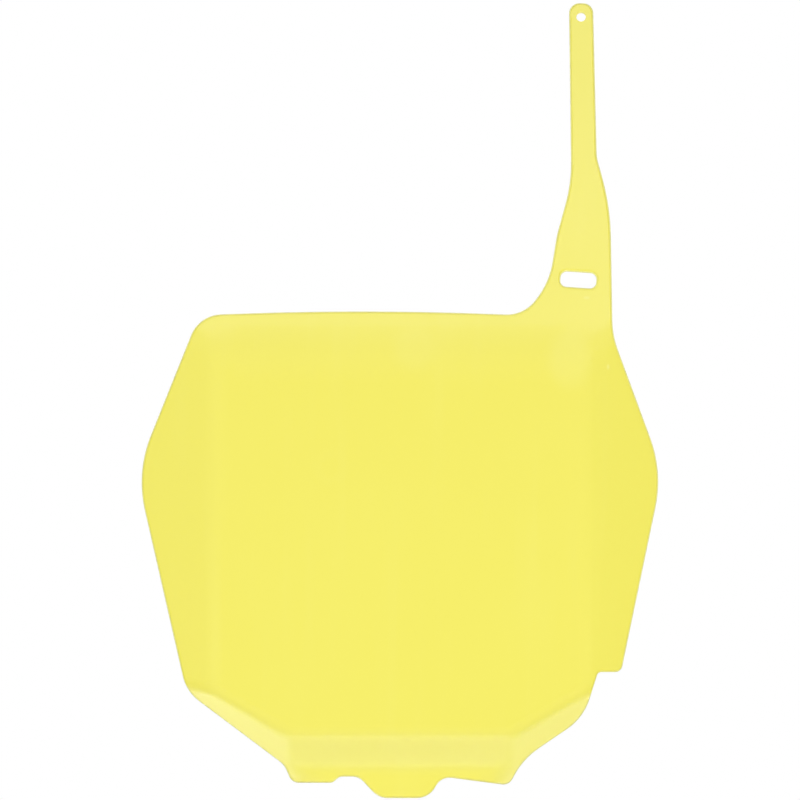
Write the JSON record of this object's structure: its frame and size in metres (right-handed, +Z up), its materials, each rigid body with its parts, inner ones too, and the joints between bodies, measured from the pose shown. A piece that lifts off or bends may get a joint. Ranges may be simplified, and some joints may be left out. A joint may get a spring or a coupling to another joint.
{
  "type": "racing number board",
  "caption": "Moulded front number board for an off-road motorbike: flat panel, swept wings, leaning lip, set-back tabbed chin and an integral strap with a slot and an eye.",
  "frame": {"origin": "on the front face of the number panel, at the centre line and the widest level", "axes": "+X to the right as seen from the front, +Y to the back, towards the bike, +Z up as it is fixed"},
  "size_m": [0.24, 0.0366, 0.3697],
  "materials": {
    "yellow_plastic": "smooth moulded, semi-gloss"
  },
  "bodies": {
    "root": {"number_board": "yellow_plastic"}
  },
  "joints": []
}
